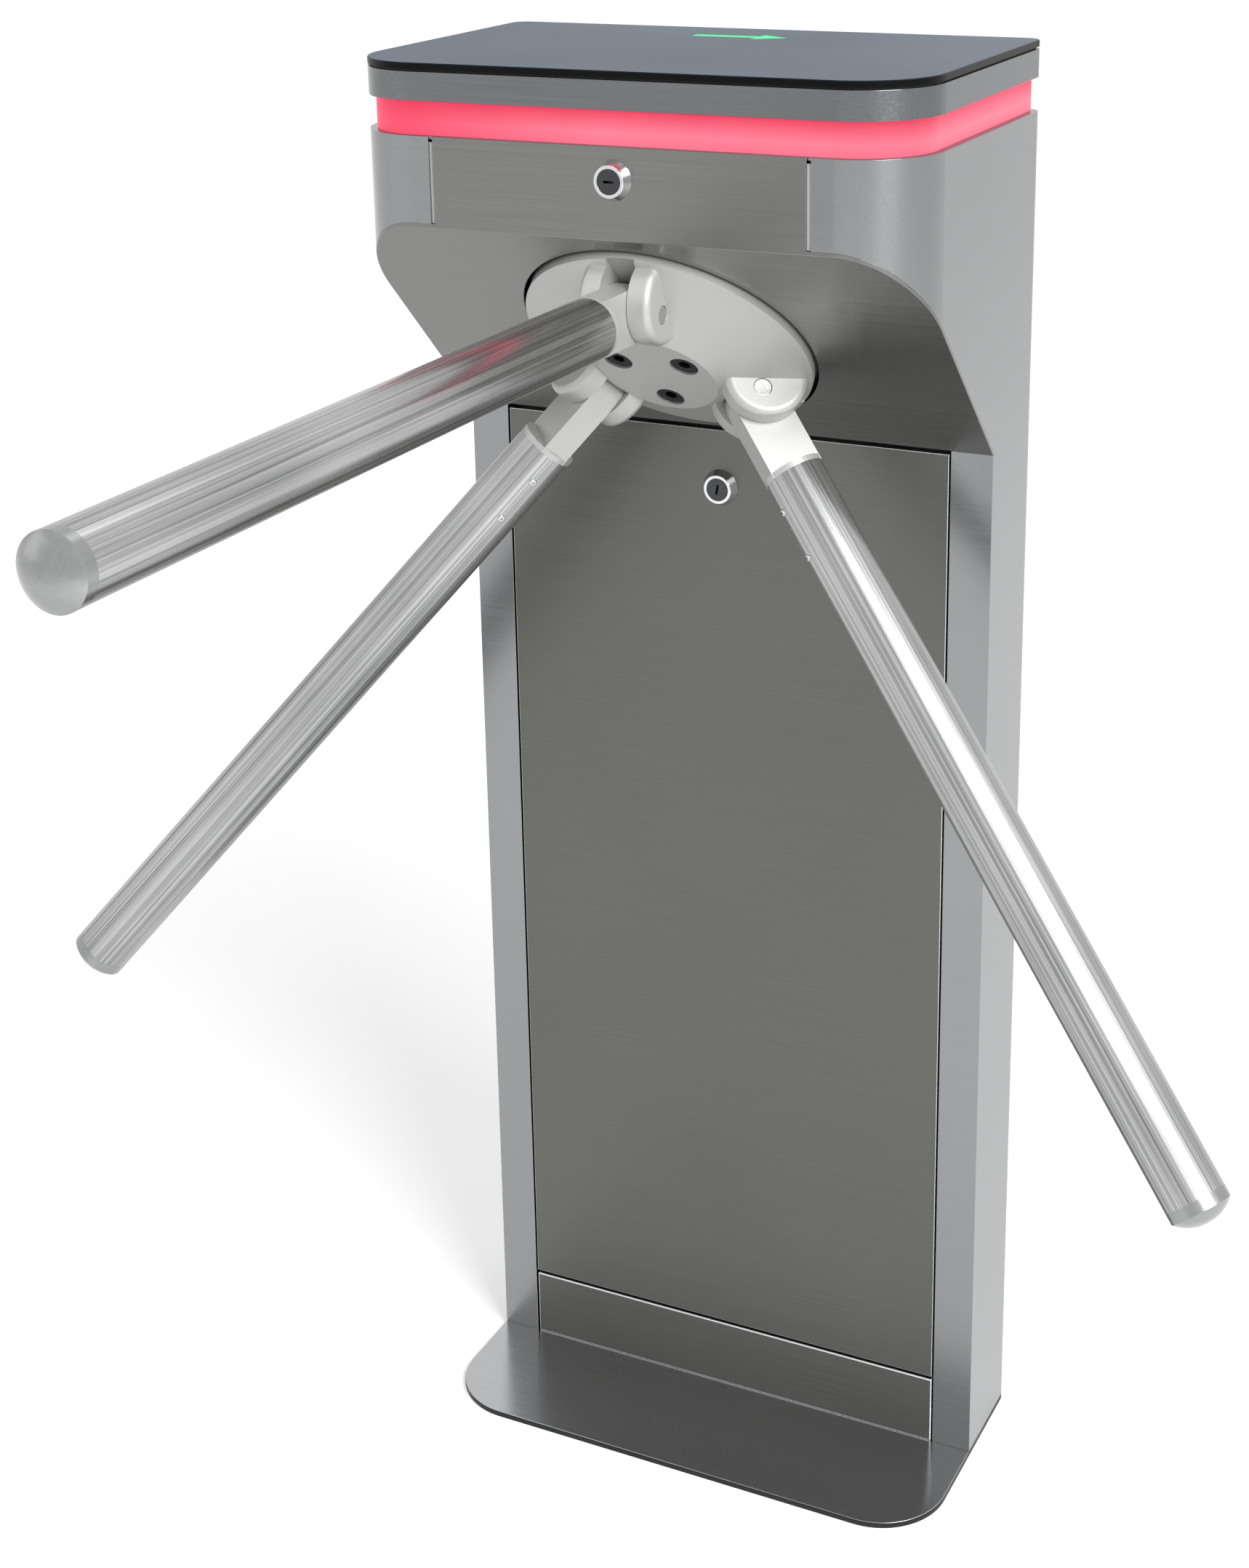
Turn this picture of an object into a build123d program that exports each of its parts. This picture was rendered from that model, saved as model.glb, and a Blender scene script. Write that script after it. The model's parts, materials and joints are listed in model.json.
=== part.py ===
from build123d import *
from math import acos, asin, cos, pi, radians, sin, tan
import os

# Tripod turnstile: a slim sheet-steel pedestal whose slanted fascia carries a three-arm rotor.
# Millimetres, +Z up, the front faces -Y.
# The origin lies on the floor, at the middle of the four anchor holes.

# Pedestal
body_width = 420.0
body_depth = 260.0
column_depth = 92.0
corner_radius = 55.0
rear_corner_radius = 12.0
smallest_corner = 1.0
sheet = 2.0
base_thickness = 5.0
base_depth = 205.0
crease_height = 996.5
slope_angle = 45.0
flap_height = 62.5
slit_margin = 16.5
slit_width = 3.0
slit_backing = 16.0
top_flange = 18.0
seam = 3.0

# Column front
door_margin = 32.5
door_bottom = 64.5
door_return = 12.0
edge_gap = 1.5
jamb_lip = 12.0
hook_width = 40.0
hook_drop = 10.0
crossbar_height = 26.0

# Floor fixing
anchor_spacing_x = 300.0
anchor_spacing_y = 46.0
anchor_hole = 14.0
cable_hole = 32.0
cable_offset = 0.0
grommet_bore = 22.0
grommet_flange = 4.0
grommet_height = 9.0
bracket_spacing = 190.0
bracket_leg = 20.0
bracket_length = 24.0
bracket_thickness = 3.0

# Head top
led_inset = 5.0
led_height = 23.5
led_wall = 5.0
led_board_gap = 6.0
led_board_thickness = 1.6
cap_height = 20.0
cap_lip = 32.0
gasket_thickness = 1.5
gasket_inset = 2.5
gasket_width = 12.0
glass_thickness = 4.5
glass_edge = 0.6
tray_thickness = 2.0
tray_inset = 8.0
post_radius = 5.0
post_inset = 24.0
post_spacing = 240.0
module_clearance = 4.0
module_leg = 4.0
reader_length = 90.0
reader_width = 70.0
reader_thickness = 12.0
reader_spacing = 230.0
indicator_length = 80.0
indicator_width = 26.0
indicator_thickness = 6.0
indicator_offset = 50.0

# Rotor hub, measured from the outer face of the fascia along the rotor axis
hub_margin = 11.0
hub_gap = 3.0
hub_rim = 5.0
hub_cone_width = 61.0
hub_flat_height = 30.0
hub_back = 6.0
hub_screw_circle = 29.0
hub_screw_turn = 30.0
hub_screw_head = 9.5
hub_screw_head_height = 7.5
hub_screw_recess = 9.0
recess_gap = 0.8
hub_screw_socket = 4.5
hexagon = 6
hub_screw_shank = 4.0

# Drop-arm hinges
pin_inset = 34.5
pin_height = 24.0
pin_radius = 6.5
pin_recess = 0.5
ear_radius = 29.5
ear_height = 14.0
ear_thickness = 16.0
ear_round = 5.0
tongue_width = 20.5
tongue_radius = 19.0
side_gap = 0.4
pocket_gap = 1.5
fit_gap = 0.05

# Arms
cone_angle = 45.0
full_turn = 360.0
arm_count = 3
first_arm_angle = 90.0
arm_reach = 617.0
tube_radius = 21.2
tube_wall = 1.5
root_length = 59.0
collar_length = 4.0
spigot_length = 90.0
dome_height = 9.0
cap_ring = 8.0
cap_plug = 20.0
tube_screw_head = 3.2
tube_screw_rise = 0.8
tube_screw_shank = 2.0
tube_screw_length = 9.0
tube_screw_first = 22.0
tube_screw_pitch = 36.0

# Rotor mechanism, depths measured inwards from the outer face of the fascia
flange_radius = 40.0
flange_thickness = 8.0
shaft_radius = 15.0
plate_depth = 24.0
plate_thickness = 10.0
plate_margin = 15.0
plate_up = 84.0
plate_down = 112.0
standoff_radius = 6.0
standoff_inset = 10.0
standoff_low = 62.0
bearing_radius = 31.0
bearing_width = 8.0
race_width = 4.0
race_recess = 2.0
shaft_end = 116.0
wheel_depth = 44.0
wheel_thickness = 8.0
wheel_radius = 62.0
notch_count = 6
notch_width = 16.0
notch_floor = 52.5
gear_depth = 56.0
gear_thickness = 10.0
gear_module = 3.0
gear_teeth = 40
gear_first_tooth = -90.0
pinion_teeth = 16
pressure_angle = 20.0
tooth_addendum = 0.9
tooth_dedendum = 1.25
backlash = 0.5
gear_windows = 6
gear_window_circle = 36.0
gear_window_radius = 11.0
rear_plate_depth = 92.0
rear_plate_thickness = 8.0
rear_half_width = 110.0
rear_up = 70.0
rear_down = 34.0
pillar_radius = 7.0
pillar_inset = 12.0
disc_depth = 110.0
disc_thickness = 2.0
disc_radius = 28.0
disc_slots = 24
disc_slot_length = 8.0
disc_slot_width = 1.8
sensor_width = 14.0
sensor_height = 20.0
sensor_overlap = 10.0
sensor_gap = 1.5
sensor_end = 119.0
damper_radius = 19.0
damper_length = 20.0
damper_floor = 38.0
damper_shaft_radius = 5.0

# Locking pawls and their solenoids
pawl_pivot_x = 60.0
pawl_pivot_down = 44.0
pawl_pin_radius = 5.0
pawl_boss = 9.0
pawl_clearance = 2.5
nose_height = 10.0
nose_length = 9.5
pawl_arm = 10.0
tail_length = 24.0
tail_radius = 6.0
link_pin_radius = 2.0
link_gap = 0.3
link_play = 1.2
solenoid_width = 26.0
solenoid_length = 36.0
solenoid_drop = 18.0
plunger_radius = 4.0
solenoid_floor = 4.0
fork_wall = 3.0
fork_width = 9.0
fork_height = 18.0

# Key locks
lock_drop = 22.0
lower_lock_drop = 44.0
lock_body_radius = 9.5
lock_bezel_radius = 14.0
lock_bezel_height = 7.0
lock_bezel_taper = 24.0
cam_gap = 1.0
plug_radius = 7.0
plug_head_radius = 8.5
plug_head_depth = 3.0
key_slot_length = 8.0
key_slot_width = 1.8
key_slot_depth = 5.0
upper_slot_turn = 0.0
lower_slot_turn = 80.0
upper_cam_turn = -90.0
lower_cam_turn = 90.0
cam_length = 30.0
cam_width = 14.0
cam_thickness = 2.0
nut_radius = 14.0
nut_thickness = 4.0
sheet_gap = 0.2

# Electronics in the column
board_width = 150.0
board_height = 110.0
board_thickness = 1.6
board_level = 640.0
board_standoff = 8.0
board_standoff_radius = 4.0
board_inset = 8.0
relay_size = 18.0
relay_columns = 4
supply_width = 110.0
supply_height = 160.0
supply_depth = 42.0
supply_level = 420.0

# Places that follow from the sizes above
half_width = body_width / 2
body_top = crease_height + flap_height
flap_half_width = half_width - corner_radius - slit_margin
door_half_width = half_width - door_margin
column_front = -column_depth / 2
rear = column_depth / 2
front = rear - body_depth
mid_depth = (front + rear) / 2
slope_run = column_front - front
slope_drop = slope_run * tan(radians(slope_angle))
slope_bottom = crease_height - slope_drop
slope_length = slope_run / cos(radians(slope_angle))
fascia_rise = sheet / cos(radians(slope_angle))
fascia_set_back = sheet / sin(radians(slope_angle))
flap_bottom = crease_height + fascia_rise
door_top = slope_bottom - seam
door_back = column_front + sheet + door_return
rebate_edge = door_half_width + edge_gap
tray_top = body_top - sheet
tray_bottom = tray_top - tray_thickness
led_bottom = body_top
led_top = led_bottom + led_height
cap_top = led_top + cap_height
glass_bottom = cap_top + gasket_thickness
module_top = glass_bottom - module_clearance
hub_down_slope = slope_length / 2
fascia_hole = slope_length / 2 - hub_margin
hub_radius = fascia_hole - hub_gap
hub_flat_radius = hub_radius - hub_cone_width
pin_circle = hub_radius - pin_inset
hub_y = front + hub_down_slope * cos(radians(slope_angle))
hub_z = crease_height - hub_down_slope * sin(radians(slope_angle))
outward = Vector(0, -sin(radians(slope_angle)), -cos(radians(slope_angle)))
rotor_plane = Plane(origin=(0, hub_y, hub_z), x_dir=(1, 0, 0), z_dir=outward)
footprint_plane = Plane(origin=(0, mid_depth, 0))
side_plane = Plane.YZ.offset(-body_width)
screw_seat = hub_flat_height - hub_screw_recess
screw_reach = screw_seat + hub_back + flange_thickness - pin_recess
tongue_bore = pin_radius + fit_gap
hinge_half_gap = tongue_width / 2 + side_gap
hinge_half_width = hinge_half_gap + ear_thickness
tube_start = root_length
tube_end = arm_reach - dome_height - cap_ring
pinion_first_tooth = gear_first_tooth + full_turn / 2 + full_turn / (2 * pinion_teeth)
arm_angles = [first_arm_angle + arm * full_turn / arm_count for arm in range(arm_count)]
plate_half_width = hub_radius + plate_margin
plate_back = plate_depth + plate_thickness
plate_middle = plate_depth + plate_thickness / 2
rear_plate_back = rear_plate_depth + rear_plate_thickness
rear_plate_middle = rear_plate_depth + rear_plate_thickness / 2
pinion_distance = gear_module * (gear_teeth + pinion_teeth) / 2
lock_length = door_return + sheet + cam_gap
upper_lock_z = body_top - lock_drop
lower_lock_z = door_top - lower_lock_drop

os.makedirs("parts", exist_ok=True)


def save(builder, name):
    # Labels a finished piece and writes it under its own name.
    builder.part.label = name
    export_step(builder.part, f"parts/{name}.step")


def inset_corner(radius, inset):
    # Corner radius of an outline that is moved inwards.
    return max(radius - inset, smallest_corner)


def footprint(depth, inset):
    # Plan of the body moved inwards: wide corners at the front, tight ones at the rear.
    with BuildSketch() as plan:
        with Locations((0, rear - depth / 2)):
            Rectangle(body_width - 2 * inset, depth - 2 * inset)
        fillet(plan.vertices().group_by(Axis.Y)[0], inset_corner(corner_radius, inset))
        fillet(plan.vertices().group_by(Axis.Y)[-1], inset_corner(rear_corner_radius, inset))
    return plan.sketch


def polar(distance, angle):
    # Point at a distance and an angle from a sketch's origin.
    return (distance * cos(radians(angle)), distance * sin(radians(angle)))


def inside(depth):
    # Plane square to the rotor axis at a depth behind the outer face of the fascia.
    return rotor_plane.offset(-depth)


def arm_plane(angle):
    # Plane at an arm's hinge pin: its Z runs along the arm, its X along the pin.
    turn = radians(angle)
    cone = radians(cone_angle)
    radial = rotor_plane.x_dir * cos(turn) + rotor_plane.y_dir * sin(turn)
    along_pin = outward.cross(radial)
    pin_centre = rotor_plane.origin + radial * pin_circle + outward * pin_height
    return Plane(origin=pin_centre, x_dir=along_pin, z_dir=outward * cos(cone) + radial * sin(cone))


def hinge_plane(angle):
    # Plane through an arm's hinge, square to its pin: X points away from the rotor axis, Y outwards.
    turn = radians(angle)
    radial = rotor_plane.x_dir * cos(turn) + rotor_plane.y_dir * sin(turn)
    return Plane(origin=rotor_plane.origin, x_dir=radial, z_dir=radial.cross(outward))


# Pieces of the pedestal

with BuildPart() as base_plate:
    with BuildSketch(Plane.XY):
        add(footprint(base_depth, 0))
    extrude(amount=base_thickness)
    with BuildSketch(Plane.XY):
        with GridLocations(anchor_spacing_x, anchor_spacing_y, 2, 2):
            Circle(anchor_hole / 2)
        with Locations((cable_offset, 0)):
            Circle(cable_hole / 2)
    extrude(amount=base_thickness, mode=Mode.SUBTRACT)
save(base_plate, "base_plate")

with BuildPart() as cable_grommet:
    with BuildSketch(Plane.XY):
        with Locations((cable_offset, 0)):
            Circle(cable_hole / 2 - fit_gap)
    extrude(amount=grommet_height)
    with BuildSketch(Plane.XY.offset(base_thickness)):
        with Locations((cable_offset, 0)):
            Circle(cable_hole / 2 + grommet_flange)
    extrude(amount=grommet_height - base_thickness)
    with BuildSketch(Plane.XY):
        with Locations((cable_offset, 0)):
            Circle(grommet_bore / 2)
    extrude(amount=grommet_height, mode=Mode.SUBTRACT)
save(cable_grommet, "cable_grommet")

with BuildPart() as base_brackets:
    for side in (-1, 1):
        with BuildSketch(Plane.YZ.offset(side * bracket_spacing / 2)):
            with BuildLine():
                Polyline(
                    (rear - sheet, base_thickness),
                    (rear - sheet - bracket_leg, base_thickness),
                    (rear - sheet - bracket_leg, base_thickness + bracket_thickness),
                    (rear - sheet - bracket_thickness, base_thickness + bracket_thickness),
                    (rear - sheet - bracket_thickness, base_thickness + bracket_leg),
                    (rear - sheet, base_thickness + bracket_leg),
                    close=True,
                )
            make_face()
        extrude(amount=bracket_length / 2, both=True)
save(base_brackets, "base_brackets")

with BuildPart() as body_shell:
    with BuildSketch(Plane.XY.offset(base_thickness)):
        add(footprint(body_depth, 0))
        add(footprint(body_depth, sheet), mode=Mode.SUBTRACT)
    extrude(amount=body_top - base_thickness)
    with BuildSketch(Plane.XY.offset(body_top - sheet)):
        add(footprint(body_depth, 0))
        add(footprint(body_depth, top_flange), mode=Mode.SUBTRACT)
    extrude(amount=sheet)
    # Everything in front of the column and of the fascia's back face is open.
    with BuildSketch(side_plane):
        with BuildLine():
            Polyline(
                (front - sheet, 0),
                (column_front, 0),
                (column_front, slope_bottom),
                (column_front + fascia_set_back, slope_bottom),
                (front, crease_height + fascia_rise),
                (front - sheet, crease_height + fascia_rise),
                close=True,
            )
        make_face()
    extrude(amount=2 * body_width, mode=Mode.SUBTRACT)
    # Opening for the upright flap and its two slits.
    with BuildSketch(Plane.XZ.offset(-front)):
        with Locations((0, (crease_height + body_top) / 2)):
            Rectangle(2 * flap_half_width + slit_width, body_top - crease_height)
    extrude(amount=-sheet, mode=Mode.SUBTRACT)
    # Folded front edges of the column, with the rebate that the door closes on.
    for side in (-1, 1):
        with BuildSketch(Plane.XY.offset(base_thickness)):
            with BuildLine():
                Polyline(
                    (side * (half_width - sheet), column_front),
                    (side * rebate_edge, column_front),
                    (side * rebate_edge, door_back),
                    (side * (rebate_edge - jamb_lip), door_back),
                    (side * (rebate_edge - jamb_lip), door_back + sheet),
                    (side * (rebate_edge + sheet), door_back + sheet),
                    (side * (rebate_edge + sheet), column_front + sheet),
                    (side * (half_width - sheet), column_front + sheet),
                    close=True,
                )
            make_face()
        extrude(amount=slope_bottom - base_thickness)
    with BuildSketch(Plane.XZ.offset(-door_back)):
        with Locations((0, slope_bottom - crossbar_height / 2)):
            Rectangle(2 * (rebate_edge - jamb_lip), crossbar_height)
    extrude(amount=-sheet)
save(body_shell, "body_shell")

with BuildPart() as front_fascia:
    with BuildSketch(side_plane):
        with BuildLine():
            Polyline(
                (front, crease_height),
                (column_front, slope_bottom),
                (column_front + fascia_set_back, slope_bottom),
                (front, crease_height + fascia_rise),
                close=True,
            )
        make_face()
    extrude(amount=2 * body_width)
    with BuildSketch(Plane.XY):
        add(footprint(body_depth, 0))
    extrude(amount=body_top, mode=Mode.INTERSECT)
    with BuildSketch(Plane.XZ.offset(-front)):
        with Locations((0, (crease_height + body_top) / 2)):
            Rectangle(2 * flap_half_width - slit_width, body_top - crease_height)
    extrude(amount=-sheet)
    with BuildSketch(rotor_plane):
        Circle(fascia_hole)
    extrude(amount=hub_back, both=True, mode=Mode.SUBTRACT)
    with BuildSketch(Plane.XZ.offset(-front)):
        with Locations((0, upper_lock_z)):
            Circle(lock_body_radius + sheet_gap)
    extrude(amount=-sheet, mode=Mode.SUBTRACT)
save(front_fascia, "front_fascia")

with BuildPart() as slit_strips:
    with BuildSketch(Plane.XZ.offset(-front - sheet)):
        with Locations((0, (flap_bottom + tray_bottom) / 2)):
            with GridLocations(2 * flap_half_width, 1, 2, 1):
                Rectangle(slit_backing, tray_bottom - flap_bottom)
    extrude(amount=-sheet)
save(slit_strips, "slit_strips")


def folded_panel(bottom, top):
    # Flat panel between the column's front edges, with its margins folded back all round.
    with BuildPart() as panel:
        with BuildSketch(Plane.XZ.offset(-column_front)):
            with Locations((0, (bottom + top) / 2)):
                Rectangle(2 * door_half_width, top - bottom)
        extrude(amount=-sheet)
        with BuildSketch(Plane.XZ.offset(-column_front - sheet)):
            with Locations((0, (bottom + top) / 2)):
                Rectangle(2 * door_half_width, top - bottom)
                Rectangle(2 * (door_half_width - sheet), top - bottom - 2 * sheet, mode=Mode.SUBTRACT)
        extrude(amount=-door_return)
    return panel.part


with BuildPart() as kick_plate:
    add(folded_panel(base_thickness, door_bottom - seam))
save(kick_plate, "kick_plate")

with BuildPart() as front_panel:
    add(folded_panel(door_bottom, door_top))
    hook_height = seam + hook_drop + sheet
    with BuildSketch(Plane.XZ.offset(-door_back)):
        with Locations((0, door_bottom + sheet - hook_height / 2)):
            with GridLocations(door_half_width, 1, 2, 1):
                Rectangle(hook_width, hook_height)
    extrude(amount=-sheet)
    with BuildSketch(Plane.XZ.offset(-column_front)):
        with Locations((0, lower_lock_z)):
            Circle(lock_body_radius + sheet_gap)
    extrude(amount=-sheet, mode=Mode.SUBTRACT)
save(front_panel, "front_panel")

# Head top


def footprint_band(level, inset, width, height):
    # Upright band that follows the footprint at an inset.
    with BuildPart() as band:
        with BuildSketch(Plane.XY.offset(level)):
            add(footprint(body_depth, inset))
            add(footprint(body_depth, inset + width), mode=Mode.SUBTRACT)
        extrude(amount=height)
    return band.part


with BuildPart() as led_diffuser:
    add(footprint_band(body_top, led_inset, led_wall, led_height))
save(led_diffuser, "led_diffuser")

with BuildPart() as led_board:
    add(footprint_band(body_top, led_inset + led_wall + led_board_gap, led_board_thickness, led_height))
save(led_board, "led_board")

with BuildPart() as cap_band:
    add(footprint_band(led_top, 0, sheet, cap_height))
    add(footprint_band(led_top, 0, led_inset + led_wall, sheet))
    add(footprint_band(cap_top - sheet, 0, cap_lip, sheet))
save(cap_band, "cap_band")

with BuildPart() as glass_gasket:
    add(footprint_band(cap_top, gasket_inset, gasket_width, gasket_thickness))
save(glass_gasket, "glass_gasket")

with BuildPart() as glass_top:
    with BuildSketch(Plane.XY.offset(glass_bottom)):
        add(footprint(body_depth, 0))
    extrude(amount=glass_thickness)
    top_rim = glass_top.faces().sort_by(Axis.Z)[-1].edges()
    chamfer(top_rim, glass_edge)
save(glass_top, "glass_top")

with BuildPart() as top_tray:
    with BuildSketch(Plane.XY.offset(tray_bottom)):
        add(footprint(body_depth, tray_inset))
    extrude(amount=tray_thickness)
save(top_tray, "top_tray")

with BuildPart() as cap_posts:
    with BuildSketch(footprint_plane.offset(tray_top)):
        with GridLocations(post_spacing, body_depth - 2 * post_inset, 2, 2):
            Circle(post_radius)
    extrude(amount=cap_top - sheet - tray_top)
save(cap_posts, "cap_posts")


def module_on_legs(x, y, length, width, thickness):
    # Flat module held up under the glass on two legs that stand on the tray.
    with BuildPart() as module:
        with BuildSketch(Plane(origin=(x, y, module_top - thickness))):
            Rectangle(length, width)
        extrude(amount=thickness)
        with BuildSketch(Plane(origin=(x, y, tray_top))):
            with GridLocations(length - 2 * module_leg, 1, 2, 1):
                Circle(module_leg)
        extrude(amount=module_top - thickness - tray_top)
    return module.part


with BuildPart() as card_readers:
    for side in (-1, 1):
        reader_x = side * reader_spacing / 2
        add(module_on_legs(reader_x, mid_depth, reader_length, reader_width, reader_thickness))
save(card_readers, "card_readers")

with BuildPart() as indicator_board:
    indicator_y = rear - indicator_offset
    add(module_on_legs(0, indicator_y, indicator_length, indicator_width, indicator_thickness))
save(indicator_board, "indicator_board")

# Rotor and its drop arms
rotor_axis = Axis(rotor_plane.origin, outward)


def hinge_ear(angle, side):
    hinge = hinge_plane(angle)
    with BuildPart() as ear:
        with BuildSketch(hinge.offset(side * hinge_half_gap)):
            with Locations((pin_circle, ear_height)):
                Circle(ear_radius)
            with Locations((pin_circle, 0)):
                Rectangle(2 * ear_radius, ear_radius, align=(Align.CENTER, Align.MAX), mode=Mode.SUBTRACT)
        extrude(amount=side * ear_thickness)
        arcs = ear.edges().filter_by(GeomType.CIRCLE)
        fillet(arcs.sort_by(Axis(hinge.origin, side * hinge.z_dir))[-1], ear_round)
    return ear.part


with BuildPart() as rotor_hub:
    with BuildSketch(hinge_plane(arm_angles[0])):
        with BuildLine():
            Polyline(
                (0, -hub_back),
                (hub_radius, -hub_back),
                (hub_radius, hub_rim),
                (hub_flat_radius, hub_flat_height),
                (0, hub_flat_height),
                close=True,
            )
        make_face()
    revolve(axis=rotor_axis)
    for angle in arm_angles:
        for side in (-1, 1):
            add(hinge_ear(angle, side))
    for angle in arm_angles:
        pocket_floor = pin_height - tongue_radius - pocket_gap
        pocket_inner = pin_circle - tongue_radius - pocket_gap
        with BuildSketch(hinge_plane(angle)):
            with Locations((pocket_inner, pocket_floor)):
                Rectangle(hub_radius, hub_radius, align=(Align.MIN, Align.MIN))
        extrude(amount=hinge_half_gap, both=True, mode=Mode.SUBTRACT)
        with BuildSketch(hinge_plane(angle)):
            with Locations((pin_circle, pin_height)):
                Circle(tongue_bore)
        extrude(amount=hinge_half_width, both=True, mode=Mode.SUBTRACT)
    with BuildSketch(rotor_plane.offset(hub_flat_height - hub_screw_recess)):
        with PolarLocations(hub_screw_circle, len(arm_angles), start_angle=hub_screw_turn):
            Circle(hub_screw_head + recess_gap)
    extrude(amount=hub_screw_recess, mode=Mode.SUBTRACT)
    with BuildSketch(inside(hub_back)):
        with PolarLocations(hub_screw_circle, len(arm_angles), start_angle=hub_screw_turn):
            Circle(hub_screw_shank + fit_gap)
    extrude(amount=hub_back + hub_flat_height, mode=Mode.SUBTRACT)
save(rotor_hub, "rotor_hub")

with BuildPart() as hub_screws:
    with BuildSketch(rotor_plane.offset(screw_seat)):
        with PolarLocations(hub_screw_circle, len(arm_angles), start_angle=hub_screw_turn):
            Circle(hub_screw_head)
    extrude(amount=hub_screw_head_height)
    with BuildSketch(rotor_plane.offset(screw_seat)):
        with PolarLocations(hub_screw_circle, len(arm_angles), start_angle=hub_screw_turn):
            Circle(hub_screw_shank)
    extrude(amount=-screw_reach)
    with BuildSketch(rotor_plane.offset(screw_seat + hub_screw_head_height)):
        with PolarLocations(hub_screw_circle, len(arm_angles), start_angle=hub_screw_turn):
            RegularPolygon(hub_screw_socket, hexagon)
    extrude(amount=-hub_screw_socket, mode=Mode.SUBTRACT)
save(hub_screws, "hub_screws")

with BuildPart() as arm_pins:
    for angle in arm_angles:
        with BuildSketch(hinge_plane(angle)):
            with Locations((pin_circle, pin_height)):
                Circle(pin_radius)
        extrude(amount=hinge_half_width - pin_recess, both=True)
save(arm_pins, "arm_pins")


def tube_screw_planes(along_arm):
    # Planes on the arm's axis at its two screws, facing the side that looks towards the rotor axis.
    first = tube_start + tube_screw_first
    places = [first, first + tube_screw_pitch]
    return [
        Plane(origin=along_arm.origin + along_arm.z_dir * place, x_dir=along_arm.x_dir, z_dir=along_arm.y_dir)
        for place in places
    ]


for number, angle in enumerate(arm_angles, start=1):
    along_arm = arm_plane(angle)
    arm_axis = Axis(along_arm.origin, along_arm.z_dir)
    half_section = Plane(origin=along_arm.origin, x_dir=along_arm.x_dir, z_dir=-along_arm.y_dir)
    across_pin = Plane(origin=along_arm.origin, x_dir=along_arm.z_dir, z_dir=along_arm.x_dir)

    with BuildPart() as arm_root:
        with BuildSketch(across_pin):
            Circle(tongue_radius)
            Rectangle(root_length, 2 * tongue_radius, align=(Align.MIN, Align.CENTER))
        extrude(amount=tongue_width / 2, both=True)
        with BuildSketch(along_arm.offset(tube_start - collar_length)):
            Circle(tube_radius)
        extrude(amount=collar_length)
        with BuildSketch(along_arm.offset(tube_start)):
            Circle(tube_radius - tube_wall - fit_gap)
        extrude(amount=spigot_length)
        with BuildSketch(across_pin):
            Circle(tongue_bore)
        extrude(amount=tongue_width, both=True, mode=Mode.SUBTRACT)
        for screw_plane in tube_screw_planes(along_arm):
            with BuildSketch(screw_plane):
                Circle(tube_screw_shank + fit_gap)
            extrude(amount=tube_radius, mode=Mode.SUBTRACT)
    save(arm_root, f"arm_root_{number}")

    with BuildPart() as arm_tube:
        with BuildSketch(along_arm.offset(tube_start)):
            Circle(tube_radius)
            Circle(tube_radius - tube_wall, mode=Mode.SUBTRACT)
        extrude(amount=tube_end - tube_start)
        for screw_plane in tube_screw_planes(along_arm):
            with BuildSketch(screw_plane):
                Circle(tube_screw_shank + fit_gap)
            extrude(amount=2 * tube_radius, mode=Mode.SUBTRACT)
    save(arm_tube, f"arm_tube_{number}")

    with BuildPart() as arm_cap:
        dome_radius = (tube_radius**2 + dome_height**2) / (2 * dome_height)
        half_turn = asin(tube_radius / dome_radius) / 2
        dome_middle = arm_reach - dome_radius * (1 - cos(half_turn))
        with BuildSketch(half_section):
            with BuildLine():
                Polyline(
                    (0, arm_reach),
                    (0, tube_end - cap_plug),
                    (tube_radius - tube_wall - fit_gap, tube_end - cap_plug),
                    (tube_radius - tube_wall - fit_gap, tube_end),
                    (tube_radius, tube_end),
                    (tube_radius, tube_end + cap_ring),
                )
                ThreePointArc(
                    (tube_radius, tube_end + cap_ring),
                    (dome_radius * sin(half_turn), dome_middle),
                    (0, arm_reach),
                )
            make_face()
        revolve(axis=arm_axis)
    save(arm_cap, f"arm_cap_{number}")

    with BuildPart() as arm_screws:
        for screw_plane in tube_screw_planes(along_arm):
            with BuildSketch(screw_plane.offset(tube_radius)):
                Circle(tube_screw_head)
            extrude(amount=tube_screw_rise)
            with BuildSketch(screw_plane.offset(tube_radius)):
                Circle(tube_screw_shank)
            extrude(amount=-tube_screw_length)
    save(arm_screws, f"arm_screws_{number}")

# Rotor shaft, wheels and bearings

with BuildPart() as rotor_shaft:
    with BuildSketch(inside(hub_back)):
        Circle(flange_radius)
    extrude(amount=-flange_thickness)
    with BuildSketch(inside(hub_back)):
        Circle(shaft_radius)
    extrude(amount=-(shaft_end - hub_back))
    with BuildSketch(inside(hub_back)):
        with PolarLocations(hub_screw_circle, len(arm_angles), start_angle=hub_screw_turn):
            Circle(hub_screw_shank + fit_gap)
    extrude(amount=-flange_thickness, mode=Mode.SUBTRACT)
save(rotor_shaft, "rotor_shaft")

for name, middle in (("front_bearing", plate_middle), ("rear_bearing", rear_plate_middle)):
    with BuildPart() as bearing:
        with BuildSketch(inside(middle)):
            Circle(bearing_radius)
            Circle(shaft_radius + fit_gap, mode=Mode.SUBTRACT)
        extrude(amount=bearing_width / 2, both=True)
        with BuildSketch(inside(middle - bearing_width / 2)):
            Circle(bearing_radius - race_width)
            Circle(shaft_radius + race_width, mode=Mode.SUBTRACT)
        extrude(amount=-race_recess, mode=Mode.SUBTRACT)
    save(bearing, name)

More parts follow.
